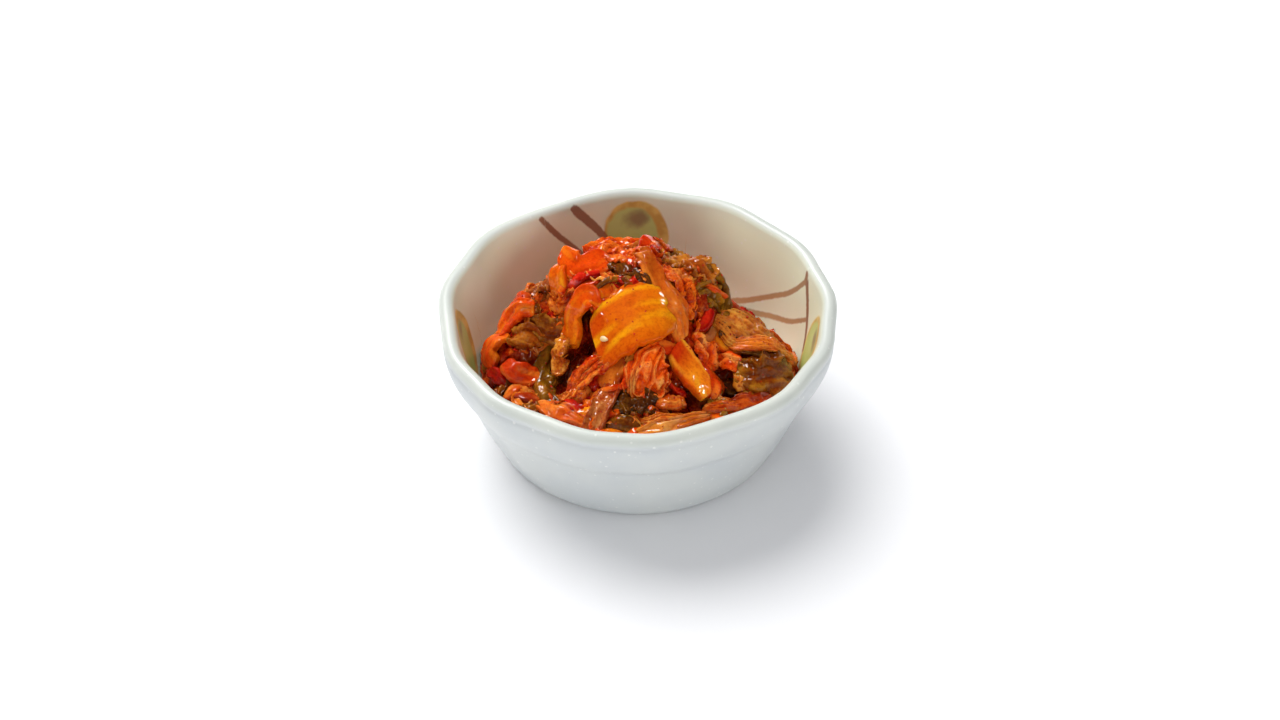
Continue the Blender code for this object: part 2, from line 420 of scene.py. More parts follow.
def ground(across, deep, reach):
    """A place on the heap in mm and its normal, both evened out over a few mm."""
    x, y = on_plan(across, deep)
    east, west = surface_height(x + reach, y), surface_height(x - reach, y)
    north, south = surface_height(x, y + reach), surface_height(x, y - reach)
    middle = (2 * surface_height(x, y) + east + west + north + south) / 6
    normal = Vector(((west - east) / (2 * reach), (south - north) / (2 * reach), 1.0)).normalized()
    return Vector((x, y, middle)), normal


def fuzz(points, grain, seed):
    """Smooth noise from -1 to 1 at rows of points, with a grain in mm."""
    shift = np.array((seed * 7.13, seed * 3.77, seed * 1.91))
    return np.array([noise.noise(p) for p in (np.asarray(points) / grain + shift).tolist()])


def keep_in_bowl(points):
    """Presses what would pass through the wall flat against the glaze."""
    reach = np.hypot(points[:, 0], points[:, 1])
    angle = np.degrees(np.arctan2(points[:, 1], points[:, 0]))
    limit = wall_radius(points[:, 2]) * softened_mouth(angle, points[:, 2]) - 0.4
    over = reach > limit
    points[over, :2] *= (limit[over] / reach[over])[:, None]
    return points


@dataclass
class Strip:
    """A cut piece of leaf or stem. Its way over the heap has places and lifts. Sizes are in mm, and turns
    in degrees."""
    way: tuple
    widths: tuple  # half widths at even steps along it
    thick: float  # half of it
    coat: str
    crush: tuple = (0.3, 5.0, 0.0)  # height and grain of crumples, from 0 for soft dents to 1 for creases
    gathers: tuple = (0.0, 0.0)  # how many lie across the width, and their height
    frill: tuple = (0.0, 6.0)  # height and wave of the ruffled sides
    ends: float = 5.0  # 2 gives round ends, more gives squarer cuts
    edge: float = 3.0  # 2 gives lens-shaped sides, more gives a slab's
    skew: float = 0.0  # slant of the cut ends
    curl: float = 0.0  # how far each side bends down
    roll: float = 0.0
    ragged: float = 0.0  # mm that torn ends run in and out
    lumps: float = 0.2
    stiff: float = 2.6  # mm over which it evens out what it lies on
    fine: tuple = (40, 44)  # faces round it and along it


SINK = 0.8  # mm that every piece is pressed into the heap
LEAST_CURL = 1.0  # degrees below which a side counts as flat
FLAT = 0.01  # bend in radians that a flat side is given
MOST_LEAN = 2.6  # radians, past which a side would meet itself
SIDE_WANDER = 0.14  # share of the half width that a cut side wanders in and out
SIDE_GRAIN = 3.4  # mm over which it does
# What dents are filtered by: dark red sauce together with painted shade.
SAUCE_AND_SHADE_FILTER = np.array((0.55, 0.18, 0.12))


def unit_rows(rows):
    return rows / np.maximum(np.linalg.norm(rows, axis=1), 1e-9)[:, None]


def columns(at, run, rows):
    """Rows of numbers read off at distances along a run."""
    return np.column_stack([np.interp(at, run, rows[:, i]) for i in range(rows.shape[1])])


def centre_line(way, stiff):
    """The middle of a strip as rows of place and upward direction, and the distance along it."""
    rows = []
    for across, deep, lift in way:
        place, normal = ground(across, deep, stiff)
        rows.append((*(place + normal * (lift - SINK)), *normal))
    rows = smooth_curve(rows, 90)
    steps = np.linalg.norm(np.diff(rows[:, :3], axis=0), axis=1)
    return rows, np.concatenate([[0.0], np.cumsum(steps)])


def shape_strip(ball, strip, seed):
    """Places for the points of a unit ball: its axis runs along the strip, and its equator lies across
    it. Also gives each point's share of the length and of the width, its place on the flat cut piece, and
    how far it is raised by crumpling."""
    rows, run = centre_line(strip.way, strip.stiff)
    share = (1 - ball[:, 2]) / 2
    around = np.maximum(np.hypot(ball[:, 0], ball[:, 1]), 1e-6)
    across, side = ball[:, 0] / around, ball[:, 1] / around
    at = share * run[-1]
    centre, up = columns(at, run, rows[:, :3]), columns(at, run, rows[:, 3:])
    ahead = unit_rows(columns(at, run, np.gradient(rows[:, :3], run, axis=0)))
    right = unit_rows(np.cross(ahead, up))
    up = np.cross(right, ahead)
    turn = np.radians(strip.roll)
    right, up = right * np.cos(turn) + up * np.sin(turn), up * np.cos(turn) - right * np.sin(turn)
    stations = smooth_curve(np.array(strip.widths, float)[:, None], 60)[:, 0]
    cap = np.maximum(1 - np.abs(2 * share - 1) ** strip.ends, 0.0) ** (1 / strip.ends)
    wide = np.interp(share, np.linspace(0, 1, 60), stations) * cap
    flat = np.column_stack([at, across * wide, np.zeros_like(at)])
    edges = np.column_stack([at, np.sign(across) * 9.0, np.zeros_like(at)])
    wide = wide * (1 + SIDE_WANDER * fuzz(edges, SIDE_GRAIN, seed + 5))
    thick = strip.thick * cap ** 0.5 * (1 + strip.lumps * fuzz(flat, 5.0, seed + 9))
    level = np.sign(side) * thick * np.maximum(1 - np.abs(across) ** strip.edge, 0.0) ** (1 / strip.edge)
    out = across * wide
    ahead_shift = out * strip.skew
    if strip.ragged:
        torn = fuzz(np.column_stack([out, np.sign(share - 0.5) * 5.0, np.zeros_like(at)]), 1.6, seed + 13)
        ahead_shift = ahead_shift + strip.ragged * torn * np.abs(2 * share - 1) ** 3
    rise, drift = crushed(strip, flat, across, cap, seed)
    out = out + drift
    half = math.radians(strip.curl) if abs(strip.curl) > LEAST_CURL else FLAT
    radius = np.maximum(wide, 0.2) / half
    lean = np.clip(out / radius, -MOST_LEAN, MOST_LEAN)
    normal = up * np.cos(lean)[:, None] + right * np.sin(lean)[:, None]
    places = centre + right * (radius * np.sin(lean))[:, None] - up * (radius * (1 - np.cos(lean)))[:, None]
    places = places + ahead * ahead_shift[:, None]
    return places + normal * (level + rise)[:, None], share, across, np.column_stack([at, out]), rise


def crushed(strip, flat, across, cap, seed):
    """How far crumples, ruffles and gathers raise points of the flat cut piece, and push them sideways.
    They move the middle of the sheet, so it keeps its thickness."""
    crumple, grain, creased = strip.crush
    veins = flat * (0.5, 1.0, 1.0)
    soft = fuzz(flat, grain, seed) + 0.55 * fuzz(flat, grain * 0.45, seed + 2)
    ridges, wrinkles = fuzz(veins, grain * 1.1, seed), fuzz(veins, grain * 0.45, seed + 2)
    sharp = 0.9 - 2.6 * np.abs(ridges) - 0.9 * np.abs(wrinkles)
    rise = crumple * (soft * (1 - creased) + sharp * creased + 0.12 * fuzz(flat, grain * 0.2, seed + 7))
    drift = crumple * 0.8 * fuzz(flat, grain * 0.8, seed + 11)
    ruffle, wave = strip.frill
    if ruffle:
        phase = 2 * math.pi * flat[:, 0] / wave + 2.2 * fuzz(flat, wave * 1.4, seed + 3)
        waves = np.sin(phase + (across > 0) * 1.9) + 0.45 * np.sin(2.3 * phase + 1.0)
        grown = np.abs(across) ** 1.6 * np.minimum(cap * 1.5, 1.0)
        rise = rise + ruffle * waves * grown
        drift = drift + ruffle * 0.6 * np.cos(phase * 0.9) * grown
    folds, fold = strip.gathers
    if folds:
        phase = math.pi * folds * (across + 0.8 * fuzz(veins, 4.0, seed + 4))
        rise = rise + fold * np.sin(phase) * cap
        drift = drift + fold * 0.3 * np.sin(2 * phase + 0.8) * cap
    return rise, drift


def tint(strip, share, across, flat, rise, seed):
    """Colour at each point: from one end's to the other's, with its own cut edge and patches. Dents are
    filtered towards dark red, partly the sauce that pools there and partly painted shade in the dents, and
    what stands proud is drained paler."""
    start, end, rim, patch = (np.array(linear(c)[:3]) for c in COATS[strip.coat])
    flat = np.column_stack([flat, np.zeros(len(flat))])
    drift = np.clip(share + 0.35 * fuzz(flat, 7.0, seed + 6), 0, 1)[:, None]
    rimmed = np.clip(np.abs(across) ** 4 + np.abs(2 * share - 1) ** 10, 0, 1)[:, None] * 0.7
    stretch = 0.14 if strip.lumps < 0.15 else 0.4  # patches on smooth stems are long streaks
    blot = np.clip(2.4 * fuzz(flat * (stretch, 1.2, 1), 2.8, seed + 8) - 0.2, 0, 1)[:, None] * 0.85
    colour = start * (1 - drift) + end * drift
    colour = colour * (1 - rimmed) + rim * rimmed
    colour = colour * (1 - blot) + patch * blot
    # Dents darkened towards dark red: sauce pooled there, and painted shade in the dents.
    pooled_sauce_and_shade = np.clip(-0.75 * rise - 0.12, 0, 0.75)[:, None]
    drained = np.clip(0.9 * rise - 0.25, 0, 0.6)[:, None]
    return (colour * (1 - pooled_sauce_and_shade) + colour * SAUCE_AND_SHADE_FILTER * pooled_sauce_and_shade) * (1 - drained) + patch * drained


BALLS = {}


def ball_mesh(around, rings):
    """A unit ball, made once for each fineness."""
    if (around, rings) not in BALLS:
        bm = bmesh.new()
        bmesh.ops.create_uvsphere(bm, u_segments=around, v_segments=rings, radius=1.0)
        BALLS[around, rings] = as_mesh(bm, "ball")
    return BALLS[around, rings]


def joined(parts):
    """One mesh from several: each is a source mesh and the places that its points take."""
    bm = bmesh.new()
    for source, _ in parts:
        bm.from_mesh(source)
    mesh = as_mesh(bm)
    set_points(mesh, np.vstack([places for _, places in parts]))
    return mesh


def lay_strips(strips, first_seed):
    """Every strip of one kind in one mesh, with its colour and its flat place stored at each point."""
    parts, paints, fibres = [], [], []
    for seed, strip in enumerate(strips, first_seed):
        ball = ball_mesh(*strip.fine)
        places, share, across, flat, rise = shape_strip(points_of(ball), strip, seed)
        parts.append((ball, keep_in_bowl(places)))
        colour = tint(strip, share, across, flat, rise, seed)
        paints.append(np.column_stack([colour, np.ones(len(colour))]))
        fibres.append(np.column_stack([flat, np.full(len(flat), seed * 3.7)]))
    mesh = joined(parts)
    store(mesh, "paint", "FLOAT_COLOR", np.vstack(paints))
    store(mesh, "fibre", "FLOAT_VECTOR", np.vstack(fibres))
    return mesh


# Start, end, cut edge and patches of each kind of piece
COATS = {
    "golden stem": ("#cc4c04", "#dc7c06", "#cc5004", "#eca60c"),
    "pale stem": ("#7c2c04", "#e4741a", "#b03004", "#e8882c"),
    "red to gold": ("#d03804", "#ff9c18", "#c62c02", "#f8a828"),
    "red to amber": ("#e04404", "#d86c0a", "#c43004", "#ee9010"),
    "bright orange": ("#e65606", "#dc4204", "#c02c02", "#f08418"),
    "amber stem": ("#d85006", "#e0780c", "#c83c04", "#ec9418"),
    "red stem": ("#d03404", "#d04008", "#a81e02", "#ea7820"),
    "tan strip": ("#b45a28", "#b06a34", "#963c14", "#d89c60"),
    "pale strip": ("#dc7420", "#ce4a0a", "#b03004", "#ee9038"),
    "front strip": ("#e08c28", "#cc6414", "#b04a08", "#eaac5a"),
    "crimson": ("#a80a04", "#a00602", "#780401", "#d82a12"),
    "red leaf": ("#cc3404", "#d24806", "#a02002", "#ee7c1c"),
    "orange leaf": ("#e4701a", "#dc4806", "#bc3002", "#f4a444"),
    "dark green": ("#603008", "#6c380a", "#3c1c04", "#94600e"),
    "black green": ("#401a06", "#4c2408", "#240e02", "#6c400c"),
    "olive": ("#86560c", "#503004", "#3c2004", "#a8741a"),
    "olive amber": ("#944608", "#a04a0a", "#682c04", "#c88228"),
    "brown frill": ("#a45018", "#84380c", "#542004", "#cc8038"),
    "green brown": ("#74380a", "#8c4008", "#402002", "#a87022"),
    "gold frill": ("#cc7a20", "#b8660e", "#8c4204", "#e8a444"),
    "brown olive": ("#843a06", "#703806", "#462002", "#a8701a"),
    "brown red": ("#9c2c06", "#8c2004", "#641402", "#c85814"),
    "fan": ("#c87424", "#d48c2c", "#98500c", "#ecb04c"),
    "bright fan": ("#ea8828", "#e07818", "#bc4c0c", "#f4b054"),
    "pleats": ("#ff7010", "#fa5808", "#dc3604", "#ffb458"),
    "fibres": ("#c85408", "#b84408", "#8c2c04", "#e08c38"),
}

# Smooth thick stems
STEMS = (
    Strip(((-25, -24, 0.4), (-13, -19, 2.0), (-1, -14, 2.6), (11, -9, 2.2), (23, -5, 0.8)),
          (8.4, 10.2, 10.8, 10.2, 8.4), 2.1, "golden stem", crush=(0.2, 12, 0.0), ends=9.0, edge=6.0,
          skew=-0.3, curl=6, roll=4, lumps=0.06, stiff=9.0, fine=(72, 64)),
    Strip(((-3, 43, -0.6), (5, 24, 1.0), (13, 9, 1.7), (22, -4, 1.9), (29, -17, -0.1)),
          (2.0, 2.6, 3.3, 4.2, 4.4), 1.4, "pale stem", crush=(0.4, 5, 0.0), gathers=(2.5, 0.4), ends=7,
          edge=5, skew=0.3, curl=20, fine=(48, 60)),
    Strip(((-22, -3, 0.9), (-30, 0, 2.3), (-37, -2, 2.3), (-38, -7, 1.6), (-39, -11, 0.9),
           (-42, -14, -0.6)),
          (3.2, 3.9, 3.2, 3.1, 3.9, 2.6), 1.2, "red to amber", crush=(0.45, 5, 0.3), ends=9, edge=7,
          skew=0.4, lumps=0.1, fine=(52, 60)),
    Strip(((-43, 33, 5.2), (-37, 25, 2.8), (-29, 24, 1.4), (-20, 34, 2.6)), (3.0, 4.5, 5.2, 4.2), 1.4,
          "bright orange", crush=(0.5, 5, 0.4), ends=8, edge=6, skew=0.3, roll=-38, lumps=0.1,
          fine=(56, 56)),
    Strip(((-42, 34, 1.4), (-47, 26, 2.2), (-48, 15, 0.2)), (2.8, 3.6, 2.8), 1.3, "amber stem",
          crush=(0.5, 4, 0.0), ends=7, edge=5, skew=0.4, fine=(44, 44)),
    Strip(((23, -25, 0.4), (29, -32, 2.0), (35, -40, 2.7), (41, -51, 2.0)), (4.0, 4.8, 4.5, 2.6), 1.4,
          "red to gold", crush=(0.4, 7, 0.0), ends=6, edge=6.0, skew=0.35, lumps=0.1, stiff=5.0,
          fine=(48, 56)),
    Strip(((-64, 10, 0.4), (-72, 14, 1.8), (-80, 14, 1.6), (-87, 10, 0.6)), (2.8, 4.0, 4.3, 3.4), 1.1,
          "bright orange", crush=(0.8, 3.6, 0.5), gathers=(1.5, 0.4), ends=7, edge=5, ragged=0.6,
          fine=(56, 52)),
    Strip(((-84, 8, 0.6), (-88, 4, 1.8), (-90, -2, 1.6), (-88, -8, 0.4)), (3.4, 4.2, 3.6, 2.4), 1.2,
          "bright orange", crush=(0.7, 4, 0.5), ends=9, edge=6, skew=0.5, lumps=0.1, fine=(52, 52)),
    Strip(((-81, -10, 0.4), (-75, -15, 2.0), (-67, -18, 1.8), (-59, -19, -0.2)), (3.0, 3.8, 3.5, 2.8), 1.9,
          "red stem", crush=(0.7, 3.4, 0.4), ends=6, edge=3, skew=-0.3, fine=(48, 48)),
    Strip(((-41, 15, 1.6), (-32, 13, 2.4), (-23, 14, 1.6)), (1.5, 2.2, 1.6), 0.9, "crimson",
          crush=(0.4, 3, 0.0)),
    Strip(((-93, -7, 0.6), (-88, -13, 1.5), (-81, -20, 0.4)), (1.7, 2.5, 1.9), 1.0, "crimson",
          crush=(0.6, 3, 0.0)),
    Strip(((38, -20, 0.2), (44, -27, 1.5), (46, -37, 1.7), (45, -48, 0.5)), (1.4, 2.3, 2.5, 1.6), 0.8,
          "red stem", crush=(0.6, 3.5, 0.4), ends=5),
    Strip(((-2, -78, 0.5), (8, -76, 1.3), (20, -73, 1.6), (34, -67, 1.2), (47, -59, -0.4)),
          (1.9, 2.6, 2.5, 2.0, 1.5), 1.0, "front strip", crush=(0.4, 5, 0.0), gathers=(2.5, 0.4), ends=6,
          edge=4, skew=0.4, fine=(44, 60)),
    Strip(((-64, -43, -0.5), (-54, -52, 1.1), (-42, -61, 1.4), (-29, -70, 0.2)), (2.0, 3.2, 3.4, 2.6), 1.2,
          "pale strip", crush=(0.5, 4, 0.0), gathers=(3, 0.4), ends=4.0, skew=0.4, fine=(44, 52)),
    Strip(((36, -4, 0.0), (41, 2, 1.5), (46, 8, 0.0)), (1.5, 2.3, 1.5), 1.3, "crimson"),
    Strip(((38, -10, 0.4), (44, -3, 1.0), (48, 3, -0.2)), (1.3, 1.7, 1.2), 0.9, "tan strip"),
    Strip(((-28, -49, 0.3), (-16, -49, 1.7), (-4, -48, 0.8)), (0.8, 1.0, 0.8), 0.7, "red stem",
          crush=(0.3, 3, 0.0), ends=4.0),
    Strip(((50, 42, 0.0), (53, 41, 1.4), (55, 38, 0.2)), (1.0, 1.3, 0.9), 1.1, "red stem"),
    Strip(((-82, -33, -0.2), (-76, -27, 1.0), (-72, -22, 0.0)), (1.4, 2.0, 1.5), 1.2, "pale strip"),
    Strip(((-77, -31, 0.0), (-69, -36, 0.8), (-61, -42, 0.0)), (1.6, 2.2, 1.6), 1.0, "brown red",
          crush=(0.7, 5.0, 0.5)),
    Strip(((-45, -46, 0.0), (-38, -56, 1.0), (-32, -62, 0.0)), (1.4, 1.9, 1.4), 1.2, "crimson",
          crush=(0.5, 5.0, 0.0)),
)

# Thin translucent and orange leaf
ORANGE_LEAVES = (
    Strip(((-33, 44, 3.0), (-19, 47, 3.2), (-6, 46, 0.9), (8, 38, -1.2), (17, 22, -0.8)),
          (4.0, 6.2, 6.6, 5.2, 3.0), 0.65, "red leaf", crush=(1.3, 4.5, 0.8), gathers=(5, 0.5),
          frill=(0.5, 6), curl=30, fine=(64, 72)),
    Strip(((-27, 34, 1.4), (-15, 34, 2.2), (-3, 32, 1.6), (7, 24, 0.0)), (2.8, 4.2, 4.2, 2.8), 0.6,
          "orange leaf", crush=(1.1, 3.5, 0.7), frill=(0.5, 5), fine=(48, 56)),
    Strip(((-43, -47, 0.2), (-36, -41, 1.8), (-28, -36, 2.0), (-18, -34, 0.6)), (2.4, 3.8, 3.6, 2.6), 0.7,
          "orange leaf", crush=(0.8, 3.5, 0.5), gathers=(2.5, 0.6), frill=(0.4, 6), ends=7, edge=4,
          skew=0.5, curl=-20, fine=(56, 60)),
    Strip(((-29, -33, 0.2), (-20, -34, 1.6), (-12, -39, 0.2)), (1.6, 2.4, 1.6), 0.65, "fan",
          crush=(0.9, 2.5, 0.6)),
    Strip(((-15, -45, -0.4), (-18, -53, 1.4), (-23, -63, 1.7), (-28, -76, 0.2)), (2.4, 3.3, 3.5, 3.2), 0.7,
          "tan strip", crush=(0.3, 5, 0.0), gathers=(2, 0.22), ends=8, edge=5, skew=0.3, curl=-26,
          fine=(56, 56)),
    Strip(((17, 23, 0.3), (26, 15, 1.5), (34, 8, 0.4)), (3.0, 4.6, 3.0), 0.65, "orange leaf",
          crush=(1.3, 2.8, 0.8), frill=(0.5, 4), fine=(48, 52)),
    Strip(((38, -3, 0.6), (42, -11, 2.2), (44, -21, 0.6)), (3.4, 5.2, 3.6), 0.65, "pleats",
          crush=(1.2, 3.0, 0.8), gathers=(4, 0.5), frill=(0.5, 5), curl=25, fine=(52, 52)),
    Strip(((-4, -37, -0.4), (7, -44, 0.8), (16, -52, -0.4)), (5.5, 7.2, 5.4), 0.6, "red leaf",
          crush=(1.0, 3.4, 0.7), gathers=(6, 0.7), curl=35, fine=(60, 52)),
    Strip(((12, -57, 0.0), (20, -59, 1.3), (29, -54, 0.0)), (2.2, 3.0, 2.2), 1.1, "fibres",
          crush=(1.2, 2.6, 0.8)),
    Strip(((-42, -6, 0.8), (-44, -12, 2.6), (-46, -18, 2.6), (-44, -26, 1.0)), (4.2, 5.2, 4.8, 3.4), 0.6,
          "gold frill", crush=(1.0, 2.4, 0.8), gathers=(2, 0.5), frill=(0.6, 3.5), ends=5, fine=(52, 56)),
    Strip(((51, -14, 0.4), (57, -15, 1.9), (65, -17, 0.8)), (2.6, 3.1, 2.7), 0.8, "pleats",
          crush=(0.9, 2.6, 0.8), gathers=(2, 0.4), ends=7, edge=5, skew=0.4),
    Strip(((62, -20, 0.4), (63, -26, 1.8), (64, -33, 0.4)), (1.4, 2.0, 1.6), 0.6, "fan",
          crush=(0.9, 2.6, 0.6), ends=5),
    Strip(((32, 15, 0.0), (38, 7, 1.1), (39, -1, 0.0)), (2.4, 3.6, 2.6), 0.65, "brown red",
          crush=(1.0, 3.0, 0.7)),
)

# Dark leaf
GREEN_LEAVES = (
    Strip(((-38, -7, 0.4), (-50, -1, 1.3), (-58, -8, 1.8), (-59, -20, 1.8), (-57, -34, 1.4),
           (-50, -48, -0.6)),
          (1.3, 2.0, 2.6, 2.9, 3.2, 2.6), 0.6, "olive", crush=(0.6, 4, 0.4), gathers=(2, 0.3), ends=7,
          edge=4, curl=34, fine=(52, 76)),
    Strip(((-66, 7, 0.4), (-57, 5, 2.0), (-47, 1, 2.0), (-40, -4, 0.4)), (2.5, 4.2, 4.2, 2.5), 0.6,
          "green brown", crush=(1.1, 3.0, 0.7), frill=(0.7, 4.5), fine=(52, 60)),
    Strip(((-68, 21, 0.0), (-60, 27, 1.3), (-52, 25, 1.2), (-45, 16, 0.0)), (2.2, 3.6, 3.6, 2.2), 0.6,
          "brown frill", crush=(1.3, 2.4, 0.8), frill=(1.0, 3.4), fine=(56, 60)),
    Strip(((-79, 3, 0.6), (-73, 1, 2.2), (-66, 0, 2.2), (-59, -1, 0.6)), (2.6, 3.8, 3.6, 2.4), 0.5,
          "olive amber", crush=(1.0, 2.8, 0.8), gathers=(2, 0.6), frill=(0.6, 4), ends=7, ragged=1.2,
          fine=(52, 52)),
    Strip(((-20, 41, 0.5), (-13, 27, 1.5), (-4, 12, 1.2)), (1.6, 3.0, 1.7), 0.6, "dark green",
          crush=(0.9, 2.6, 0.6), frill=(0.5, 4)),
    Strip(((-2, 19, 1.2), (4, 11, 2.4), (10, 4, 1.2)), (1.4, 2.4, 1.0), 0.6, "black green",
          crush=(0.5, 3.0, 0.0), curl=40),
    Strip(((-26, 3, 0.6), (-18, 7, 1.6), (-11, 9, 0.9)), (0.6, 1.1, 0.7), 0.6, "dark green",
          crush=(0.2, 5.0, 0.0)),
    Strip(((-9, 11, 0.8), (-2, 4, 1.5), (3, -2, 0.4)), (1.3, 2.2, 1.2), 0.5, "green brown",
          crush=(1.0, 2.0, 0.7), frill=(0.5, 3)),
    Strip(((15, 27, 0.2), (26, 34, 1.2), (38, 27, 1.6), (47, 18, 0.4)), (3.0, 4.6, 4.6, 3.0), 0.6,
          "olive amber", crush=(1.3, 2.8, 0.8), frill=(1.1, 4.0), fine=(60, 64)),
    Strip(((40, 27, 0.9), (47, 29, 2.4), (53, 22, 2.4), (55, 9, 0.8)), (1.6, 2.4, 2.4, 1.7), 1.1, "olive",
          crush=(0.5, 3.4, 0.0), curl=50, fine=(44, 52)),
    Strip(((50, 5, 0.5), (56, 2, 1.6), (61, -3, 0.5)), (1.5, 2.3, 1.5), 0.6, "black green",
          crush=(1.0, 2.4, 0.7), frill=(0.6, 3)),
    Strip(((61, -22, 1.2), (73, -23, 3.4), (84, -20, 3.8), (96, -14, 1.4)), (5.0, 7.4, 8.0, 6.2), 0.6,
          "brown olive", crush=(1.2, 3.4, 0.8), gathers=(2, 0.6), frill=(0.6, 7), ends=7, fine=(68, 72)),
    # A near-black leaf sunk in the gap at the right: a dark leaf, and painted shade deep in the gap.
    Strip(((52, -26, -2.2), (57, -27, -1.6), (62, -29, -2.2)), (2.2, 3.0, 2.2), 0.6, "black green",
          crush=(0.8, 2.6, 0.6)),
    Strip(((65, -37, 0.3), (76, -33, 1.5), (88, -30, 0.3)), (2.6, 4.0, 3.4), 0.7, "brown red",
          crush=(1.1, 3.2, 0.7), fine=(52, 52)),
    Strip(((-16, -60, 0.2), (-6, -57, 1.2), (6, -58, 1.2), (13, -63, 0.0)), (3.4, 4.6, 4.2, 3.0), 0.7,
          "black green", crush=(1.4, 2.8, 0.8), frill=(0.7, 4.5), fine=(56, 60)),
    Strip(((-19, -71, 0.3), (-9, -72, 1.5), (1, -75, 0.2)), (2.0, 2.8, 2.0), 0.6, "dark green",
          crush=(0.8, 2.8, 0.5), curl=30),
    Strip(((-88, -17, -0.2), (-81, -17, 0.9), (-75, -20, -0.2)), (1.6, 2.2, 1.6), 0.6, "dark green",
          crush=(0.8, 5.0, 0.5)),
)

# Leaf torn along its fibres
FIBROUS = (
    Strip(((50, 7, 0.2), (64, 4, 1.5), (79, 3, 2.0), (95, 6, 0.6)), (4.4, 7.0, 7.6, 5.4), 0.8, "fan",
          crush=(0.8, 5, 0.5), gathers=(8, 0.34), ends=5, curl=14, ragged=1.5, fine=(88, 60)),
    Strip(((57, -6, 0.8), (69, -7, 3.0), (82, -5, 3.6), (97, 2, 1.4)), (2.0, 3.0, 2.8, 2.0), 0.8,
          "bright fan", crush=(0.6, 4, 0.0), gathers=(4, 0.3), ends=5, ragged=1.2, fine=(60, 56)),
    Strip(((53, -52, -0.1), (67, -45, 1.2), (80, -37, 1.0), (91, -29, 0.0)), (2.6, 3.8, 3.8, 2.8), 0.7,
          "brown red", crush=(1.0, 4, 0.6), gathers=(5, 0.3), ends=5, ragged=1.2, fine=(64, 56)),
    Strip(((40, -60, 0.2), (52, -55, 1.3), (65, -48, 0.2)), (1.6, 2.5, 1.7), 0.9, "fibres",
          gathers=(4, 0.45)),
    Strip(((2, -70, 0.2), (16, -69, 1.5), (31, -67, 0.2)), (1.2, 1.8, 1.3), 0.8, "bright fan",
          gathers=(4, 0.4)),
    Strip(((13, -30, 0.8), (8, -38, 2.8), (4, -46, 2.6), (4, -55, 0.2)), (2.6, 6.2, 7.4, 6.4), 0.6,
          "pleats", crush=(0.4, 4, 0.4), gathers=(4.6, 0.8), curl=24, ragged=1.4, fine=(104, 56)),
)

CORE_LEAF = ("green brown", "brown red", "red leaf", "orange leaf")
# Gaps between the pieces, sunk deeper and painted darker towards their middle, dark wet sauce and painted
# shade: place, radius in mm
HOLLOWS = ((-35, -21, 5.0), (57, -26, 4.4), (32, -59, 4.4), (-31, -6, 3.0), (26, -8, 2.0), (-84, -14, 2.4))
# Places that the big pieces cover, which need no filling
COVERED = ((-1, -15, 9.0), (33, -40, 5.5), (25, -25, 4.0), (-37, -4, 3.6), (12, 8, 4.0), (-78, 12, 4.5),
           (7, -44, 6.0), (80, -20, 8.0), (-46, -13, 3.5), (-89, -3, 4.0), (-70, -14, 4.0), (72, 4, 7.0),
           (-32, 28, 5.0))

# Filling pieces: share of each kind, coats, half width, half thickness, length
FILLER = (
    ("stems", 0.24, ("bright orange", "red stem", "amber stem", "red to amber", "pale stem"),
     (2.2, 4.4), (1.0, 1.8), (8, 16)),
    ("orange_leaves", 0.42, ("red leaf", "red leaf", "orange leaf", "brown red", "crimson"),
     (3.0, 6.0), (0.5, 0.8), (9, 18)),
    ("green_leaves", 0.20, ("green brown", "olive", "dark green", "brown olive", "brown frill"),
     (2.4, 5.0), (0.4, 0.7), (8, 16)),
    ("fibrous", 0.14, ("fibres", "fan", "bright fan"), (2.2, 4.2), (0.6, 0.9), (9, 16)),
)
FILLER_COUNT = 200
SCRAP = (
    ("scraps", 0.72, ("red leaf", "brown red", "brown red", "fibres", "crimson"),
     (1.2, 2.8), (0.35, 0.6), (4, 9)),
    ("scraps", 0.28, ("green brown", "brown olive", "brown frill", "olive amber"),
     (1.0, 2.2), (0.3, 0.5), (4, 8)),
)
SCRAP_COUNT = 110
GOLDEN_TURN = math.pi * (3 - math.sqrt(5))
FILL_REACH, WAY_REACH = 97, 99  # hundredths of the heap's half sizes that they start and run within
FRONT_ENDS = 35  # hundredths of the heap's half depth past which a piece lies behind
# Least and most lift of the filling and of the scraps, in front and behind
FILLER_LIFTS = ((-1.0, 0.1), (-0.8, 0.4))
SCRAP_LIFTS = ((-0.5, 0.8), (0.0, 1.1))
# Faces round and along each kind
FILLER_FINE = {"stems": (32, 30), "orange_leaves": (32, 30), "green_leaves": (40, 36), "fibrous": (48, 30),
               "scraps": (22, 20)}


def over_any(places, across, deep, margin):
    x, y = on_plan(across, deep)
    for far_across, far_deep, radius in places:
        hollow_x, hollow_y = on_plan(far_across, far_deep)
        if math.hypot(x - hollow_x, y - hollow_y) < radius + margin:
            return True
    return False


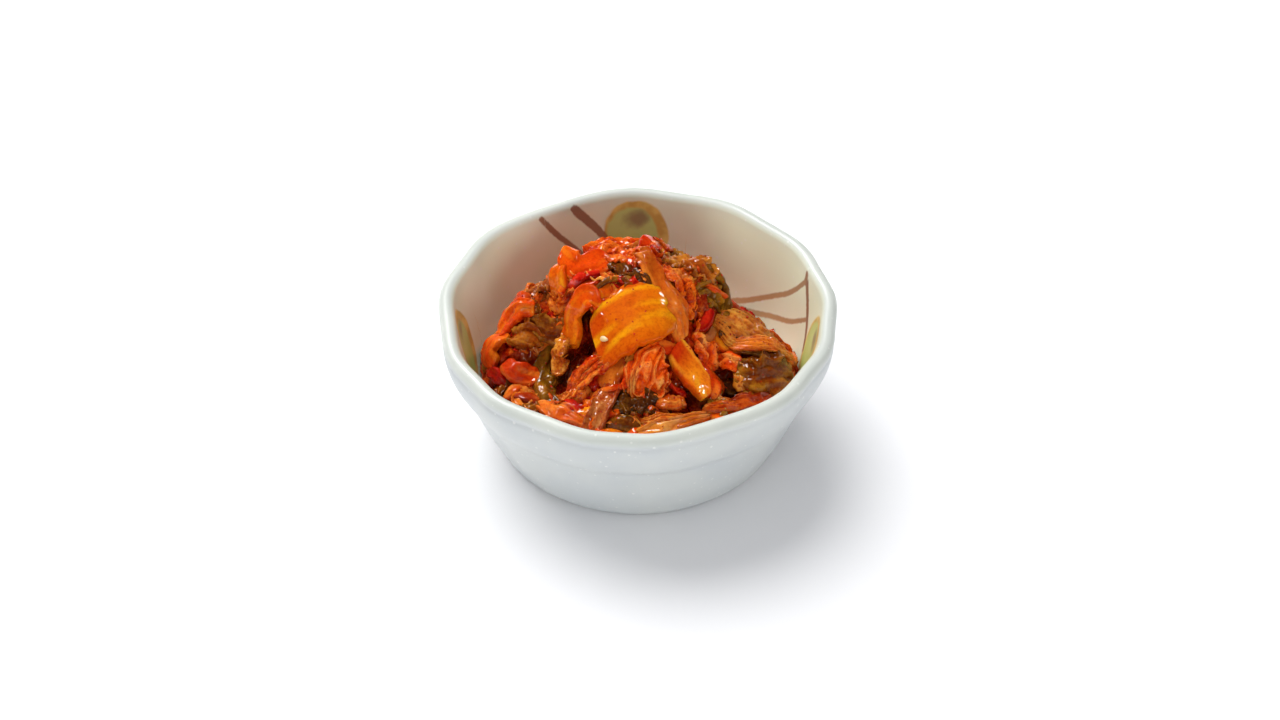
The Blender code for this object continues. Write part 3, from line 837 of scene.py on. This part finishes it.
def scattered(mix_of_kinds, count, lifts):
    """Strips spread evenly over the heap, by kind. They show between the main ones and at the back."""
    made = {}
    shares = [mixed[1] for mixed in mix_of_kinds]
    for i in range(count):
        reach = FILL_REACH * math.sqrt((i + 0.5) / count)
        angle = i * GOLDEN_TURN + random.uniform(-0.2, 0.2)
        across, deep = reach * math.cos(angle), reach * math.sin(angle)
        kind, _, coats, widths, thicks, lengths = random.choices(mix_of_kinds, shares)[0]
        wide, thick, long = random.uniform(*widths), random.uniform(*thicks), random.uniform(*lengths)
        coat = random.choice(coats)
        heading, bend = random.uniform(0, 2 * math.pi), random.uniform(-0.7, 0.7)
        lift = random.uniform(*lifts[deep > FRONT_ENDS])
        mould, roll = random.random(), random.uniform(-25, 25)
        if over_any(HOLLOWS, across, deep, wide + 0.8) or over_any(COVERED, across, deep, 0.0):
            continue
        way = []
        for step in (-1, 0, 1):
            turn = heading + bend * step
            # Half the length each way, in hundredths of the heap's half sizes
            x = across + step * long * math.cos(turn) * 50 / HEAP_HALF.x
            y = deep + step * long * math.sin(turn) * 50 / HEAP_HALF.y
            far = max(math.hypot(x, y) / WAY_REACH, 1.0)
            way.append((x / far, y / far, lift - 0.5 * abs(step)))
        strip = Strip(tuple(way), (wide * 0.8, wide, wide * 0.85), thick, coat, ends=6.0, skew=mould - 0.5,
                      roll=roll, fine=FILLER_FINE[kind])
        if kind == "stems":
            strip.crush, strip.edge = (0.5, 5.0, 0.0), 3.6
        elif kind == "fibrous":
            strip.crush, strip.gathers, strip.ragged = (0.7, 4.0, 0.0), (4.0, 0.5), 1.5
        else:
            strip.crush, strip.gathers, strip.ragged = (1.1, 3.2, 0.8), (2.5, 0.8 * wide / 4), 1.2
            strip.curl, strip.frill = 60 * mould - 15, (0.5 + 0.5 * mould, 4.5)
        made.setdefault(kind, []).append(strip)
    return made


CORE_DEPTH = 1.5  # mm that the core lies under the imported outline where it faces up
CORE_FOLDS = ((7.0, 1.5), (3.2, 0.8), (1.3, 0.28))  # grain and height of each size of fold, in mm
CORE_SKEW = 2.2  # mm that its folds are skewed
HOLLOW_DEPTH = 4.5  # mm that the dark gaps go deeper


def make_core():
    """The wet mass of leaf between the pieces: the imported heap's own outline, drawn in and crumpled."""
    bm = bmesh.new()
    bm.from_mesh(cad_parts["kimchi"].data)
    bmesh.ops.scale(bm, verts=bm.verts, vec=(1 / MM,) * 3)
    bmesh.ops.remove_doubles(bm, verts=bm.verts, dist=0.001)
    bmesh.ops.subdivide_edges(bm, edges=bm.edges, cuts=5, use_grid_fill=True)
    bm.normal_update()
    mesh = as_mesh(bm)
    places = points_of(mesh)
    normals = np.zeros(places.size, np.float32)
    mesh.vertices.foreach_get("normal", normals)
    normals = normals.reshape(-1, 3)
    top = np.sqrt(np.maximum(normals[:, 2], 0.0))
    warped = places + CORE_SKEW * np.column_stack([fuzz(places, 6.0, seed) for seed in (1, 2, 3)])
    crumpled = sum(size * (0.45 - 1.9 * np.abs(fuzz(warped, grain, 4 + grain)))
                   for grain, size in CORE_FOLDS)
    deep = 0.6 + top * (CORE_DEPTH - crumpled)
    hollow = np.zeros(len(places))
    for across, far, radius in HOLLOWS:
        x, y = on_plan(across, far)
        near = 1 - np.hypot(places[:, 0] - x, places[:, 1] - y) / (radius * 1.5)
        hollow = np.maximum(hollow, np.sqrt(np.maximum(near, 0.0)))
    set_points(mesh, places - normals * (deep + HOLLOW_DEPTH * hollow * top)[:, None])
    # The gaps are painted darker towards their middle: dark sauce, and painted shade deep in the gaps.
    colour = patchwork(places, crumpled) * (1 - hollow[:, None] * (0.7, 0.94, 0.94))
    store(mesh, "paint", "FLOAT_COLOR", np.column_stack([colour, np.ones(len(colour))]))
    store(mesh, "fibre", "FLOAT_VECTOR", warped)
    return mesh


def patchwork(places, raised):
    """Colours of crushed leaf: broad patches of each kind, pale on the ridges, and darker red in the dents,
    partly the sauce there and partly painted shade.
    """
    kinds = [np.array([linear(c)[:3] for c in COATS[name]]) for name in CORE_LEAF]
    level = np.clip(0.95 * fuzz(places, 8.0, 31) + 0.2 * fuzz(places, 2.5, 32) + 0.45, 0, 1)
    stops = np.linspace(0, 1, len(kinds))
    base = columns(level, stops, np.array([kind[0] for kind in kinds]))
    proud = columns(level, stops, np.array([kind[3] for kind in kinds]))
    ridge = np.clip(0.55 * raised - 0.1, 0, 0.6)[:, None]
    # Darker red in the dents: sauce, and painted shade in the crevices.
    dent_sauce_and_shade = np.clip(-0.7 * raised + 0.05, 0, 0.8)[:, None]
    return (base * (1 - ridge) + proud * ridge) * (1 - dent_sauce_and_shade * (1 - SAUCE_AND_SHADE_FILTER))


# ---------------------------------------------------------------- food materials

# What oil lets through, from bare leaf to deep pools
OIL = ((0.30, "#ffffff"), (0.48, "#ffecd0"), (0.61, "#e07a4c"), (0.74, "#983018"))


def wet_food(name, glow, streak, pools, bump_mm, bump_size, film_mm, film_size):
    """Fermented cabbage under chilli oil, soaked and pressed, with its cells in rows along the fibres. The
    eye sees colour deep in the flesh, streaks along the fibres and an oil skin with small sharp glints."""
    material, shader, node = new_material(name)
    place = node("place")
    paint = node("colour", attribute_name="paint")
    fibre = node("stretch", node("vector", attribute_name="fibre"), (0.12, 1.3, 1.0))
    threads = node("noise", fibre, 1.0, 5.0, 0.65)
    pale = node("lighten", 1.0, paint, "#c07018")
    colour = node("mix", node("grade", threads, 0.52, 0.78, 0.0, streak), paint, pale)
    deep = node("filter", 1.0, paint, "#a84830")
    colour = node("mix", node("grade", threads, 0.50, 0.26, 0.0, streak * 1.3), colour, deep)
    # Chilli oil lies unevenly, in pools a few millimetres wide that filter the colour towards dark red
    oil = node("ramp", node("noise", place, per_mm(3.2), 5.0, 0.62))
    stops = oil.node.color_ramp.elements
    while len(stops) < len(OIL):
        stops.new(1.0)
    for stop, (level, filtered) in zip(stops, OIL):
        stop.position, stop.color = level, linear(filtered)
    colour = node("filter", pools, colour, oil)
    # Juice and finely ground pepper mottle it below a millimetre
    grains = node("noise", place, per_mm(0.9), 2.0)
    red = node("filter", 1.0, colour, "#c05a38")
    colour = node("mix", node("grade", grains, 0.50, 0.66, 0.0, 0.75 * pools), colour, red)
    gold = node("lighten", 1.0, colour, "#8a4a08")
    colour = node("mix", node("grade", grains, 0.46, 0.32, 0.0, 0.5 * pools), colour, gold)
    # Red pepper powder clings in spots under a millimetre
    powder = node("cells", place, per_mm(3.0)).node.outputs
    away = node("difference", powder["Distance"], node("product", powder["Color"], 0.14))
    colour = node("mix", node("grade", away, -0.02, 0.04, 0.5, 0.0), colour, "#b02004")
    pits = node("sum", node("noise", place, per_mm(bump_size), 4.0, 0.6), node("product", threads, 0.4))
    film = node("noise", place, per_mm(film_size), 0.0)
    set_inputs(shader, {
        "Base Color": colour,
        "Roughness": 0.4,
        "Specular IOR Level": 0.0,
        "Subsurface Weight": glow,
        "Subsurface Radius": (1.0, 0.35, 0.12),
        "Subsurface Scale": 1.4 * MM,
        "Coat Weight": 1.0,
        "Coat Roughness": 0.08,
        "Coat IOR": 1.4,
        "Normal": node("bump", pits, bump_mm * MM, 1.0),
        "Coat Normal": node("bump", film, film_mm * MM, 1.0),
    })
    return material


def toasted_seed():
    """Hulled sesame, toasted: a matt cream skin, slightly browner at the tip."""
    material, shader, node = new_material("toasted_sesame")
    toast = node("noise", node("place"), per_mm(1.5), 2.0)
    set_inputs(shader, {"Base Color": node("mix", toast, "#f0d6a4", "#dcb070"), "Roughness": 0.35,
                        "Coat Weight": 0.6})
    return material


def pepper_flake():
    """Dried red pepper, crushed and soaked: hard glossy chips of dark red skin."""
    material, shader, node = new_material("crushed_red_pepper")
    cloud = node("grade", node("noise", node("place"), per_mm(6), 1.0), 0.4, 0.6)
    set_inputs(shader, {"Base Color": node("mix", cloud, "#a81404", "#cc3008"), "Roughness": 0.25,
                        "Coat Weight": 1.0, "Coat Roughness": 0.08})
    return material


# ---------------------------------------------------------------- small things on top

FLAKE_COUNT = 170
# Each seed's place and turn in radians
SEEDS = ((-20, -27, 0.3), (38, 55, 1.2), (-52, 52, 2.0), (-8, 78, 0.8))


def top_of(trees, across, deep):
    """The highest finished surface over a place of the heap, with its normal."""
    x, y = on_plan(across, deep)
    hits = [tree.ray_cast(Vector((x, y, SKY)), DOWN) for tree in trees]
    hits = [(hit[0], hit[1]) for hit in hits if hit[0] is not None]
    return max(hits, key=lambda hit: hit[0].z) if hits else None


def laid_flat(points, place, normal, spin):
    """Points turned about the vertical, then laid on a surface."""
    turn = normal.to_track_quat("Z", "Y").to_matrix() @ Matrix.Rotation(spin, 3, "Z")
    return points @ np.array(turn).T + np.array(place)


def make_flakes(trees):
    """Chips of pepper skin on the heap, a few tenths of a millimetre to over a millimetre wide."""
    bm = bmesh.new()
    bmesh.ops.create_icosphere(bm, subdivisions=1, radius=1.0)
    chip = as_mesh(bm, "chip")
    parts = []
    for _ in range(FLAKE_COUNT):
        reach, angle = 95 * math.sqrt(random.random()), random.uniform(0, 2 * math.pi)
        size = random.uniform(0.2, 0.6)
        shape = (size, size * random.uniform(0.5, 0.9), size * random.uniform(0.2, 0.35))
        spin = random.uniform(0, math.pi)
        found = top_of(trees, reach * math.cos(angle), reach * math.sin(angle))
        if found is not None:
            parts.append((chip, laid_flat(points_of(chip) * shape, *found, spin)))
    return joined(parts)


SEED_HALF = (1.5, 0.85, 0.5)  # mm along, across and through it


def make_seeds(trees):
    """Sesame seeds: flat drops, pointed at one end."""
    ball = ball_mesh(20, 14)
    drop = points_of(ball)[:, (2, 0, 1)]
    drop[:, 1] *= 1.0 - 0.35 * drop[:, 0]
    drop = drop * SEED_HALF
    parts = []
    for across, deep, spin in SEEDS:
        place, normal = top_of(trees, across, deep)
        parts.append((ball, laid_flat(drop, place + normal * 0.35, normal, spin)))
    return joined(parts)


# ---------------------------------------------------------------- putting it together

def finish_piece(name, mesh, material, slot, *stands_for):
    """Makes the object in metres, with its place in its mesh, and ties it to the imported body."""
    mesh.transform(Matrix.Scale(MM, 4))
    mesh.name = name
    mesh.materials.append(material)
    mesh.shade_smooth()
    piece = bpy.data.objects.new(name, mesh)
    bpy.context.scene.collection.objects.link(piece)
    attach(piece, BODY)
    if stands_for:
        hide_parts(*stands_for)
    return piece


def make_food():
    fill = scattered(FILLER, FILLER_COUNT, FILLER_LIFTS)
    scraps = scattered(SCRAP, SCRAP_COUNT, SCRAP_LIFTS)
    leaf = wet_food("oil_soaked_leaf", 0.12, 0.2, 0.8, 0.30, 2.2, 0.27, 1.7)
    stem = wet_food("oil_soaked_stem", 0.40, 0.14, 0.36, 0.12, 3.0, 0.2, 2.6)
    dark_leaf = wet_food("dark_outer_leaf", 0.08, 0.2, 0.5, 0.30, 2.0, 0.29, 1.45)
    torn_leaf = wet_food("torn_leaf_fibre", 0.2, 0.28, 0.6, 0.24, 1.8, 0.28, 1.8)
    kinds = (
        ("stems", [*STEMS, *fill["stems"]], stem),
        ("orange_leaves", [*ORANGE_LEAVES, *fill["orange_leaves"]], leaf),
        ("green_leaves", [*GREEN_LEAVES, *fill["green_leaves"]], dark_leaf),
        ("fibrous", [*FIBROUS, *fill["fibrous"]], torn_leaf),
        ("scraps", scraps["scraps"], leaf),
    )
    laid = [(name, lay_strips(strips, 100 + 200 * i), material)
            for i, (name, strips, material) in enumerate(kinds)]
    trees = [tree_of(mesh) for name, mesh, material in laid]
    flakes, seeds = make_flakes(trees), make_seeds(trees)
    for name, mesh, material in laid:
        finish_piece("kimchi_" + name, mesh, material, FOOD_SLOT)
    finish_piece("kimchi_core", make_core(), leaf, FOOD_SLOT, "kimchi")
    finish_piece("pepper_flakes", flakes, pepper_flake(), FOOD_SLOT)
    finish_piece("sesame_seeds", seeds, toasted_seed(), FOOD_SLOT)


def make_floor():
    """A white painted board."""
    bm = bmesh.new()
    bmesh.ops.create_grid(bm, x_segments=1, y_segments=1, size=4.0)
    mesh = as_mesh(bm, "floor")
    material, shader, _ = new_material("white_board")
    set_inputs(shader, {"Base Color": "#f8f8f9", "Roughness": 0.9, "Specular IOR Level": 0.1})
    mesh.materials.append(material)
    floor = bpy.data.objects.new("floor", mesh)
    bpy.context.scene.collection.objects.link(floor)


def make_lamp(name, turn, height, size, power, only_gloss=False):
    """A round lamp aimed at the bowl. The wide ones give no spot on gloss, and the small ones only that."""
    lamp = bpy.data.lights.new(name, "AREA")
    lamp.shape = "DISK"
    lamp.size = size
    lamp.energy = power
    turn, height = math.radians(turn), math.radians(height)
    level = math.cos(height)
    towards = Vector((level * math.cos(turn), level * math.sin(turn), math.sin(height)))
    shown = bpy.data.objects.new(name, lamp)
    shown.location = towards * LAMP_DISTANCE
    shown.rotation_euler = towards.to_track_quat("Z", "Y").to_euler()
    shown.visible_glossy = only_gloss
    shown.visible_diffuse = not only_gloss
    bpy.context.scene.collection.objects.link(shown)


def make_light():
    """A wide soft key from the back left, a low fill in front, small lamps for glints, and a pale room."""
    world = bpy.data.worlds.new("studio")
    world.use_nodes = True
    tree = world.node_tree
    strength = add(tree, "grade", add(tree, "gloss ray"), 0.0, 1.0, ROOM_LIGHT, ROOM_IN_GLOSS)
    set_inputs(tree.nodes["Background"], {"Color": "#fafbff", "Strength": strength})
    bpy.context.scene.world = world
    make_lamp("key", *KEY)
    make_lamp("front_fill", *FRONT_FILL)
    make_lamp("window", *WINDOW, only_gloss=True)
    for turn, height in GLINTS:
        make_lamp("glint", turn, height, GLINT_SIZE, GLINT_POWER, only_gloss=True)
    bpy.context.scene.view_settings.view_transform = "Standard"


def make_camera():
    aim = Vector((AIM_RIGHT, 0.0, BOWL_HEIGHT - AIM_BELOW_RIM))
    back = Vector((0.0, -math.cos(CAMERA_DOWN), math.sin(CAMERA_DOWN)))
    lens = bpy.data.cameras.new("camera")
    lens.lens = LENS
    lens.clip_start = 0.05
    camera = bpy.data.objects.new("camera", lens)
    camera.location = (aim + back * CAMERA_DISTANCE) * MM
    camera.rotation_euler = back.to_track_quat("Z", "Y").to_euler()
    bpy.context.scene.collection.objects.link(camera)
    bpy.context.scene.camera = camera


make_camera()
make_light()
make_floor()
finish_piece("bowl_glazed", make_bowl(), painted_glaze(), GLAZE_SLOT, "bowl")
make_food()
